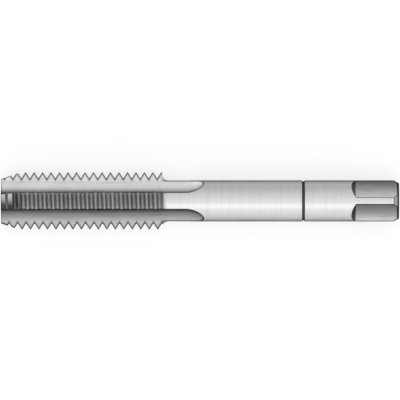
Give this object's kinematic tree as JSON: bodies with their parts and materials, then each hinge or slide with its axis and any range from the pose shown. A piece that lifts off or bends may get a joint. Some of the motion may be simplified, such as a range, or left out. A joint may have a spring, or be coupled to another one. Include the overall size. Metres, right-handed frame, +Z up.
{
  "type": "hand tap",
  "caption": "Straight-flute hand tap with a coarse right-hand thread, a short lead, a plain shank with a marking ring and a square drive end.",
  "frame": {"origin": "on the axis, halfway along the plain shank between the flutes and the square", "axes": "+X along the axis towards the square drive end, with the cutting tip at -X; +Z up, through the middle of the land that lies on top; the tap lies level on the edges of its two lower lands"},
  "size_m": [0.082, 0.0118, 0.0105],
  "materials": {
    "tool_steel": "fine ground, with a dark marking ring"
  },
  "bodies": {
    "root": {"tap": "tool_steel"}
  },
  "joints": []
}
